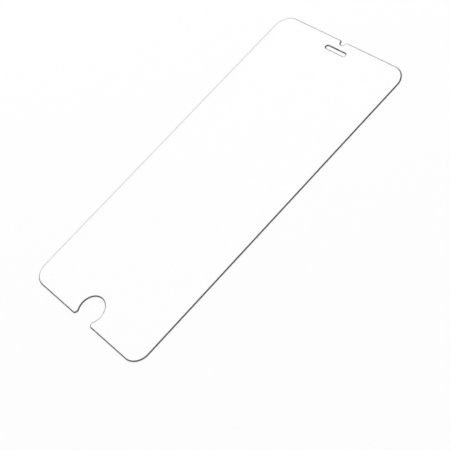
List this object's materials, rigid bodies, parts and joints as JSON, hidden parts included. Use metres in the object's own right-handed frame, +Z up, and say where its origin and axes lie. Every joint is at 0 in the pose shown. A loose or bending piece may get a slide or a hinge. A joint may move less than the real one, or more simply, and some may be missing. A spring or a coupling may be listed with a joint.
{
  "type": "phone screen protector",
  "caption": "Thin clear tempered-glass sheet with rounded corners, an earpiece slot, a sensor notch and a round button cut-out, bonded over a phone's front to protect it.",
  "frame": {"origin": "under the middle of the sheet, on the plane of its bonding face", "axes": "+Y along the sheet towards the earpiece end, +X to the right seen from the outer face, +Z up out of the outer face"},
  "size_m": [0.07, 0.151, 0.0004],
  "materials": {
    "clear_glass": "clear polished faces with a fine-ground edge"
  },
  "bodies": {
    "root": {"glass_sheet": "clear_glass"}
  },
  "joints": []
}
